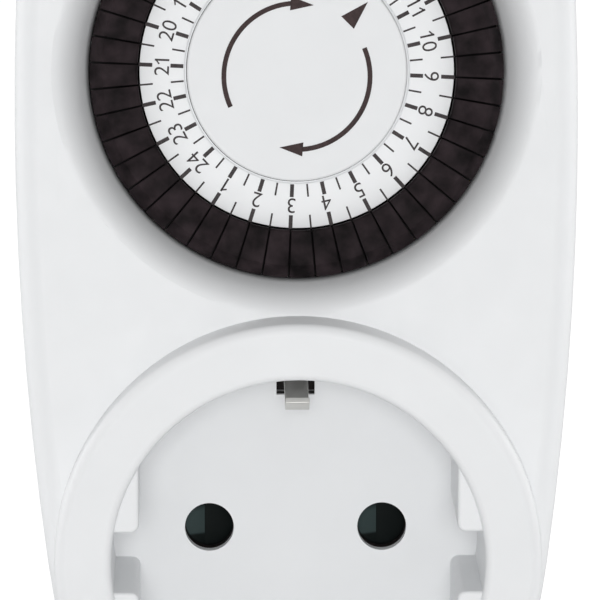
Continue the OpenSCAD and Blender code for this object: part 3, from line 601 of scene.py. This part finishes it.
# %% [markdown]
# The front shell's recess has softer edges than the rest: its rim is well rounded, so that a plug
# slides in, and so are the corners of its side notches. Those edges are picked by their place and
# rounded in edit mode, before the narrow bevel.

# %% Housing shells
RIM_Y = round(cad_box[0][1] / MM, 3)
RECESS_R = 20.1
RIM_CHAMFER = 0.5
RIM_ROUND = 0.3
BLOCK_Y = RIM_Y + 1
BLOCK_X = 17.1
BLOCK_ROUND = 0.4
NOTCH_Z = 3.3
NOTCH_ROUND = 0.9
FRONT_EDGE = 0.15
FRONT_EDGE_DEG = 40.0
REAR_EDGE = 0.2
# how far in mm the middle of an edge may lie from a plane, and from an arc made of short edges
NEAR = 0.02
NEARLY_ROUND = 0.1


def round_edges(piece, chosen, radius_mm, segments):
    """Rounds the edges that pass the test on their middle (in mm) and their direction."""
    def passes(edge):
        a, b = (piece.data.vertices[v].co / MM for v in edge.vertices)
        return chosen((a + b) / 2, (b - a).normalized())

    open_chosen(piece, "EDGE", passes)
    bpy.ops.mesh.bevel(offset=radius_mm * MM, segments=segments, affect="EDGES", clamp_overlap=True)
    close_edit()


def on_rim(mid, way):
    """The outer and the inner edge of the chamfer round the recess."""
    r = math.hypot(mid.x, mid.z)
    outer = abs(r - RECESS_R - RIM_CHAMFER) < NEARLY_ROUND and abs(mid.y - RIM_Y) < NEAR
    inner = abs(r - RECESS_R) < NEARLY_ROUND and abs(mid.y - RIM_Y - RIM_CHAMFER) < NEAR
    return abs(way.y) < 0.1 and (outer or inner)


def on_notch_corner(mid, way):
    """The long edges between a guide block's flat side and its notch."""
    at_corner = abs(abs(mid.x) - BLOCK_X) < 0.05 and abs(abs(mid.z) - NOTCH_Z) < 0.05
    return abs(way.y) > 0.9 and at_corner


def on_block_front(mid, way):
    """The edges round the front faces of the guide blocks."""
    return abs(mid.y - BLOCK_Y) < NEAR and math.hypot(mid.x, mid.z) < RECESS_R - NEARLY_ROUND


housing_front = merged_copy("front_shell")
round_edges(housing_front, on_rim, RIM_ROUND, 3)
round_edges(housing_front, on_notch_corner, NOTCH_ROUND, 5)
round_edges(housing_front, on_block_front, BLOCK_ROUND, 3)
break_edges(housing_front, FRONT_EDGE, edge_deg=FRONT_EDGE_DEG)
stands_for(housing_front, "front_shell")
housing_rear = moulded("rear_shell", REAR_EDGE)
print("shell faces:", len(housing_front.data.polygons), len(housing_rear.data.polygons))

# %% [markdown]
# ## Small mouldings and contacts
# Each tripper is its own small moulding, so each gets its own broken edges, and so do the disc, the
# slider, the pins and the sprung contacts.

# %% Small pieces
MOULDING_EDGE = 0.08
METAL_EDGE = 0.06
TRIPPER_EDGE = 0.05
SMALL_PIECES = (
    (TRIPPER_EDGE, sorted(name for name in nodes if name.startswith("trippers_"))),
    (MOULDING_EDGE, ("centre_disc", "override_slider")),
    (METAL_EDGE, ("live_pin", "neutral_pin", "earth_strap", "live_contact", "neutral_contact")),
)

for edge_mm, names in SMALL_PIECES:
    for name in names:
        moulded(name, edge_mm)
    print("edges of", edge_mm, "mm on", len(names), "nodes")

# %% [markdown]
# ## Drum
# Between two trippers there is a slit, through which light would reach the gears. The drum's flange
# is widened to just short of the hole's wall, so that the slits end on dark plastic.

# %% Widened flange
FLANGE_R = 21.35
FLANGE_LIP_R = 22.15


def on_flange_edge(vertex):
    return math.hypot(vertex.co.x, vertex.co.y) > (FLANGE_R - 0.05) * MM


drum = merged_copy("dial_body")
drum.matrix_world = DIAL.inverted()
set_in_place(drum)
open_chosen(drum, "VERT", on_flange_edge)
widen = FLANGE_LIP_R / FLANGE_R
bpy.ops.transform.resize(value=(widen, widen, 1), center_override=(0, 0, 0))
close_edit()
drum.matrix_world = DIAL
stands_for(smooth_rounds(set_in_place(drum)), "dial_body")

# %% [markdown]
# ## Number ring
# The ring's inner lip is rounded, and a low ledge inside it nearly closes the gap round the fixed
# disc. The ledge is a circle that is extruded inwards and then upwards, and is joined to the ring.

# %% Ledge and lip
RING_TOP = -0.5
RING_IN_R = 12.0
RING_LIP_ROUND = 0.22
LEDGE_OUT_R = RING_IN_R + 0.02
LEDGE_IN_R = 11.86
LEDGE_W = (-1.45, -0.72)


def ring_ledge():
    bottom, top = LEDGE_W
    narrow = LEDGE_IN_R / LEDGE_OUT_R
    rise = (0, 0, (top - bottom) * MM)
    bpy.ops.mesh.primitive_circle_add(
        vertices=128, radius=LEDGE_OUT_R * MM, location=(0, 0, bottom * MM))
    ledge = set_in_place(bpy.context.object)
    open_whole(ledge)
    bpy.ops.mesh.extrude_region_move()
    bpy.ops.transform.resize(value=(narrow, narrow, 1), center_override=(0, 0, bottom * MM))
    bpy.ops.mesh.select_all(action="SELECT")
    bpy.ops.mesh.extrude_region_move(TRANSFORM_OT_translate={"value": rise})
    bpy.ops.mesh.select_all(action="SELECT")
    bpy.ops.mesh.normals_make_consistent(inside=False)
    close_edit()
    ledge.matrix_world = DIAL
    finish(ledge, materials["scale_white"])
    return smooth_rounds(set_in_place(ledge))


def on_ring_lip(mid, way):
    place = DIAL.inverted() @ (mid * MM) / MM
    return math.hypot(place.x, place.y) < RING_IN_R + 0.05 and place.z > RING_TOP - 0.05


ledge = ring_ledge()
ring = merged_copy("scale_ring")
round_edges(ring, on_ring_lip, RING_LIP_ROUND, 3)
break_edges(ring, MOULDING_EDGE)
stands_for(joined([ring, ledge], ring.name), "scale_ring")
print("ring faces:", len(ring.data.polygons))

# %% [markdown]
# ## Painted shade in the holes and slots
# Thin dark sheets line the deeper part of the two pin holes and of the earth slots. They are painted
# shade, and they make those openings look black almost from their edge. Each liner is an open tube or box
# with a thin wall from a Solidify modifier.

# %% Painted shade liners of the holes and slots
FLOOR_Y = RIM_Y + 17.5
HOLE_X = 9.5
HOLE_R = 2.7
HOLE_LINER_Y = (FLOOR_Y + 1.2, FLOOR_Y + 2.5)
SLOT_Z = (14.9, 19.1)
SLOT_W = 4.2
SLOT_LINER_Y = (FLOOR_Y + 0.6, FLOOR_Y + 1.5)
LINER_T = 0.05
SLACK = 0.02


def thin_wall(piece):
    """Gives an open surface a wall that grows inwards."""
    open_whole(piece)
    bpy.ops.mesh.normals_make_consistent(inside=False)
    close_edit()
    wall = piece.modifiers.new("wall", "SOLIDIFY")
    wall.thickness = LINER_T * MM
    wall.offset = -1
    return smooth_rounds(apply_all(piece))


def box_between(z_low, z_high, y_front, y_back):
    """A plain box as wide as a slot, less the slack on both sides."""
    bpy.ops.mesh.primitive_cube_add(size=1)
    piece = bpy.context.object
    piece.location = (0, (y_front + y_back) / 2 * MM, (z_low + z_high) / 2 * MM)
    piece.scale = ((SLOT_W - 2 * SLACK) * MM, (y_back - y_front) * MM, (z_high - z_low) * MM)
    return set_in_place(piece)


def hole_liner(x):
    front, back = HOLE_LINER_Y
    bpy.ops.mesh.primitive_cylinder_add(
        vertices=64, radius=(HOLE_R - SLACK) * MM, depth=(back - front) * MM, end_fill_type="NOTHING",
        location=(x * MM, (front + back) / 2 * MM, 0), rotation=(math.radians(90), 0, 0))
    return thin_wall(set_in_place(bpy.context.object))


def slot_liner(z_low, z_high):
    """The four walls of a slot, from a box without its front and back."""
    piece = box_between(z_low + SLACK, z_high - SLACK, *SLOT_LINER_Y)
    open_chosen(piece, "FACE", lambda face: abs(face.normal.y) > 0.9)
    bpy.ops.mesh.delete(type="FACE")
    close_edit()
    return thin_wall(piece)


slot_low, slot_high = SLOT_Z
# dark liners that paint the shade in the pin holes and earth slots
liners = [hole_liner(-HOLE_X), hole_liner(HOLE_X)]
liners += [slot_liner(slot_low, slot_high), slot_liner(-slot_high, -slot_low)]
print("liners:", len(liners))

# %% [markdown]
# Thin dark plates, more painted shade, close the slots on both sides of the earth strap, and cover the
# floor of the grooves in which the earth clips sit. Then all the dark sheets are joined.

# %% Plates of painted shade
GROOVE_TOP = 21.3
STRAP_Z = (16.6, 17.6)
BACK_PLATE_Y = FLOOR_Y + 2.48
GROOVE_PLATE_Y = FLOOR_Y - 0.06
PLATE_T = 0.08
PLATE_EDGE = 0.02
PLATE_SLACK = 0.03


def plate(z_low, z_high, y):
    """A thin upright dark plate of painted shade, as wide as a slot."""
    piece = box_between(z_low, z_high, y - PLATE_T / 2, y + PLATE_T / 2)
    bevel = piece.modifiers.new("edges", "BEVEL")
    bevel.width = PLATE_EDGE * MM
    return apply_all(piece)


strap_low, strap_high = STRAP_Z
PLATES = (
    (slot_high, GROOVE_TOP - SLACK, GROOVE_PLATE_Y),
    (slot_low + PLATE_SLACK, strap_low, BACK_PLATE_Y),
    (strap_high, slot_high - PLATE_SLACK, BACK_PLATE_Y),
)
plates = []
for low, high, y in PLATES:
    plates += [plate(low, high, y), plate(-high, -low, y)]
# joins the thin dark sheets that paint the shade in the holes, slots and grooves
shade_sheets = joined(liners + plates, "painted_shade_sheets")
finish(shade_sheets, materials["painted_shade_black"])
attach(shade_sheets, body_of("front_shell"))
print("painted shade faces:", len(shade_sheets.data.polygons))

# %% [markdown]
# ## Screw heads
# The four screws that hold the housing together have a cross recess in their heads. Two crossed bars
# are cut out of each head with a Boolean modifier. No two crosses stand at the same angle, because
# nobody tightens screws to a mark.

# %% Cross recesses
CROSS_ANGLES = (18.0, 63.0, -12.0, 40.0)
CROSS_LENGTH = 3.0
CROSS_WIDTH = 0.75
CROSS_DEPTH = 1.1
HEAD_REACH = 6.0


def head_centres(screws, back_y):
    """The middle of each head. Points of the flat ends within HEAD_REACH mm belong to one head."""
    heads = []
    for spot in [v.co for v in screws.data.vertices if v.co.y > back_y - 0.01 * MM]:
        near = [head for head in heads if (head[0] - spot).length < HEAD_REACH * MM]
        if near:
            near[0].append(spot)
        else:
            heads.append([spot])
    centres = []
    for head in heads:
        xs = [spot.x for spot in head]
        zs = [spot.z for spot in head]
        centres.append(Vector(((min(xs) + max(xs)) / 2, back_y, (min(zs) + max(zs)) / 2)))
    return centres


def cut_bar(screws, centre, angle):
    """Cuts one bar of a cross, CROSS_DEPTH mm deep."""
    bpy.ops.mesh.primitive_cube_add(size=1)
    bar_cut = bpy.context.object
    size = Matrix.Diagonal((CROSS_LENGTH * MM, 2 * CROSS_DEPTH * MM, CROSS_WIDTH * MM, 1))
    turn = Matrix.Rotation(math.radians(angle), 4, "Y")
    bar_cut.matrix_world = Matrix.Translation(centre) @ turn @ size
    set_in_place(bar_cut)
    cut = screws.modifiers.new("cross", "BOOLEAN")
    cut.object = bar_cut
    cut.operation = "DIFFERENCE"
    cut.solver = "EXACT"
    apply_all(screws)
    bpy.data.objects.remove(bar_cut)


screws = merged_copy("housing_screws")
centres = head_centres(screws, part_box("housing_screws")[1][1])
for centre, angle in zip(centres, CROSS_ANGLES):
    cut_bar(screws, centre, angle)
    cut_bar(screws, centre, angle + 90)
stands_for(break_edges(screws, METAL_EDGE), "housing_screws")
print("screws:", len(centres))

# %% [markdown]
# ## Hour marks
# The number ring is printed with bold hour marks and fine half-hour marks at both of its edges.
# One mark is a low bar with rounded corners, made from a cube, and the rest are copies.

# %% Hour and half-hour marks
INK_T = 0.03
HOUR_STEP = 15.0
NINE_ANGLE = -2.5
CORNER = 0.05
# radius of the middle and length in mm of the marks in the inner and the outer row
MARK_ROWS = ((12.85, 1.38), (16.22, 1.48))
# name, angle after the hour, width in mm
MARK_KINDS = (("hour", 0.0, 0.42), ("half_hour", HOUR_STEP / 2, 0.19))


def bar(name, length_mm, width_mm):
    bpy.ops.mesh.primitive_cube_add(size=1)
    piece = bpy.context.object
    piece.name = name
    piece.scale = (length_mm * MM, width_mm * MM, INK_T * MM)
    set_in_place(piece)
    bevel = piece.modifiers.new("corners", "BEVEL")
    bevel.width = CORNER * MM
    bevel.segments = 2
    bevel.affect = "EDGES"
    bevel.limit_method = "ANGLE"
    return apply_all(piece)


def copies_at(model, name, places):
    """Copies of a model at all the places, joined. The model itself goes."""
    made = []
    for place in places:
        copy = model.copy()
        copy.data = model.data.copy()
        bpy.context.scene.collection.objects.link(copy)
        copy.matrix_world = place
        made.append(copy)
    bpy.data.objects.remove(model)
    return joined(made, name)


def printed(piece, body, material):
    finish(piece, material)
    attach(piece, body)
    return piece


for kind, offset, width in MARK_KINDS:
    for row, (radius, length) in enumerate(MARK_ROWS):
        angles = [NINE_ANGLE + offset + HOUR_STEP * k for k in range(24)]
        places = [on_dial(radius, a, RING_TOP + INK_T / 2, a) for a in angles]
        marks = copies_at(bar("mark", length, width), f"{kind}_marks_{row + 1}", places)
        printed(marks, "dial", dial_ink)
print("mark rows:", len(MARK_KINDS) * len(MARK_ROWS))

# %% [markdown]
# ## Hour numbers
# The numbers run against the clock, because the ring turns clockwise past a fixed pointer. Their
# tops point outwards. Text objects are turned into thin solids and joined into one print.

# %% Hour numbers
NUMBER_RADIUS = 14.36
NUMBER_SIZE = 2.3
DIGIT_STEP = 1.15
THINNER_SHARE = -0.004
FLAG_LENGTH = 0.62
FLAG_WIDTH = 0.16
FLAG_SLANT = 38.0
# place of the stroke's middle from the middle of its figure, in mm
FLAG_AT = (-0.20, 0.34 * NUMBER_SIZE - 0.2)


def digit(figure, place):
    """One figure as a thin solid, centred on place."""
    bpy.ops.object.text_add()
    text = bpy.context.object
    text.data.body = figure
    text.data.size = NUMBER_SIZE * MM
    text.data.align_x = "CENTER"
    text.data.align_y = "CENTER"
    text.data.extrude = INK_T * MM / 2
    text.data.offset = THINNER_SHARE * NUMBER_SIZE * MM
    text.data.resolution_u = 6
    pick(text)
    bpy.ops.object.convert(target="MESH")
    glyph = bpy.context.object
    glyph.matrix_world = place
    return glyph


def flag_of_one(place):
    """The short slanted stroke at the head of a 1."""
    stroke = bar("flag", FLAG_LENGTH, FLAG_WIDTH)
    head = Matrix.Translation(Vector((*FLAG_AT, 0)) * MM)
    stroke.matrix_world = place @ head @ Matrix.Rotation(math.radians(FLAG_SLANT), 4, "Z")
    return stroke


def number(hour):
    """The pieces of one number, with its figures side by side across the hour's line."""
    figures = str(hour)
    angle = NINE_ANGLE + HOUR_STEP * (hour - 9)
    centre = on_dial(NUMBER_RADIUS, angle, RING_TOP + INK_T / 2, angle - 90)
    made = []
    for k, figure in enumerate(figures):
        aside = (k - (len(figures) - 1) / 2) * DIGIT_STEP
        place = centre @ Matrix.Translation(Vector((aside, 0, 0)) * MM)
        made.append(digit(figure, place))
        if figure == "1":
            made.append(flag_of_one(place))
    return made


glyphs = [piece for hour in range(1, 25) for piece in number(hour)]
numbers = printed(joined(glyphs, "hour_numbers"), "dial", dial_ink)
print("number faces:", len(numbers.data.polygons))

# %% [markdown]
# ## Arrows and pointer
# The fixed disc shows which way the dial turns, with two long arrows, and a small triangle points at
# the time. An arrow's shaft is a flat bar's end spun round the dial's axis, and its head is a
# three-sided prism.

# %% Shafts and heads
DISC_TOP = 0.4
ARROW_RADIUS = 7.82
ARROW_STROKE = 0.52
ARC_STEPS = 28


def arc_band(start, sweep):
    """A flat curved band: a small upright face spun round the dial's axis."""
    bpy.ops.mesh.primitive_plane_add(size=1)
    band = bpy.context.object
    place = Matrix.Translation(Vector((ARROW_RADIUS, 0, DISC_TOP + INK_T / 2)) * MM)
    upright = Matrix.Rotation(math.radians(90), 4, "X")
    band.matrix_world = place @ upright @ Matrix.Diagonal((ARROW_STROKE * MM, INK_T * MM, 1, 1))
    set_in_place(band)
    open_whole(band)
    bpy.ops.mesh.spin(
        steps=ARC_STEPS, angle=math.radians(sweep), center=(0, 0, 0), axis=(0, 0, 1))
    bpy.ops.mesh.select_all(action="SELECT")
    bpy.ops.mesh.normals_make_consistent(inside=False)
    close_edit()
    band.matrix_world = DIAL @ Matrix.Rotation(math.radians(start), 4, "Z")
    return set_in_place(band)


def triangle(tip_radius, tip_angle, length, half_width, turn):
    """A flat triangle whose tip is at a place on the disc and points along turn."""
    bpy.ops.mesh.primitive_cylinder_add(vertices=3, radius=1, depth=INK_T * MM)
    head = pick(bpy.context.object)
    head.rotation_euler = (0, 0, math.radians(-90))
    set_in_place(head)
    xs = [v.co.x for v in head.data.vertices]
    ys = [v.co.y for v in head.data.vertices]
    across = 2 * half_width * MM / (max(ys) - min(ys))
    size = Matrix.Diagonal((length * MM / (max(xs) - min(xs)), across, 1, 1))
    tip_first = Matrix.Translation(Vector((-max(xs), 0, 0)))
    place = on_dial(tip_radius, tip_angle, DISC_TOP + INK_T / 2, turn)
    head.matrix_world = place @ size @ tip_first
    return set_in_place(head)


def lowered(piece, drop_mm):
    """Moves a print down the dial's face."""
    piece.matrix_world = Matrix.Translation(-v_axis * drop_mm * MM) @ piece.matrix_world
    return set_in_place(piece)


# %% [markdown]
# Both arrows run round one circle, whose middle lies a little below the middle of the dial. A shaft
# stops HEAD_ANGLE degrees before the tip, and the head lies along the middle of the rest.

# %% Turning arrows and pointer
# angles in degrees where an arrow starts and where its tip is
ARROWS = ((204.5, 76.5), (22.7, -104.0))
ARROW_DROP = 0.6
HEAD_ANGLE = 18.0
HEAD_LENGTH = 2.5
HEAD_HALF_WIDTH = 0.75
POINTER_RADIUS = 10.8
POINTER_ANGLE = 45.2
POINTER_LENGTH = 3.1
POINTER_HALF_WIDTH = 0.95
POINTER_DROP = 0.33

pieces = []
for start, tip in ARROWS:
    shaft = arc_band(start, start - tip - HEAD_ANGLE)
    head = triangle(ARROW_RADIUS, tip, HEAD_LENGTH, HEAD_HALF_WIDTH, tip - 90 + HEAD_ANGLE / 2)
    pieces += [lowered(shaft, ARROW_DROP), lowered(head, ARROW_DROP)]
pointer = triangle(POINTER_RADIUS, POINTER_ANGLE, POINTER_LENGTH, POINTER_HALF_WIDTH, POINTER_ANGLE)
pieces.append(lowered(pointer, POINTER_DROP))
arrows = printed(joined(pieces, "arrows_and_pointer"), "housing", arrow_ink)
print("arrow faces:", len(arrows.data.polygons))

# %% [markdown]
# ## Floor
# A plain pale floor under the housing's foot. It is a little self-lit for the camera only, which
# leaves the soft shadow of the object on it.

# %% Floor
FLOOR_SIZE_M = 8
FLOOR_GLOW = 0.6
FLOOR_TONES = (0.80, 0.82)
FLOOR_SPOT_MM = 40.0

bpy.ops.mesh.primitive_plane_add(size=FLOOR_SIZE_M, location=(0, 0, cad_box[0][2]))
floor = bpy.context.object
floor.name = "floor"
material, tree, shader, place = start_material("floor_paper")
low_tone, high_tone = ((tone, tone, tone) for tone in FLOOR_TONES)
spots = noise(tree, place, FLOOR_SPOT_MM, 2.0)
tint(tree, spots, low_tone, high_tone, shader.inputs["Base Color"])
shader.inputs["Roughness"].default_value = 0.9
path = tree.nodes.new("ShaderNodeLightPath")
lift = tree.nodes.new("ShaderNodeMath")
lift.operation = "MULTIPLY"
lift.inputs[1].default_value = FLOOR_GLOW
tree.links.new(path.outputs["Is Camera Ray"], lift.inputs[0])
shader.inputs["Emission Color"].default_value = (1, 1, 1, 1)
tree.links.new(lift.outputs[0], shader.inputs["Emission Strength"])
finish(floor, material)
print("floor at", floor.location)
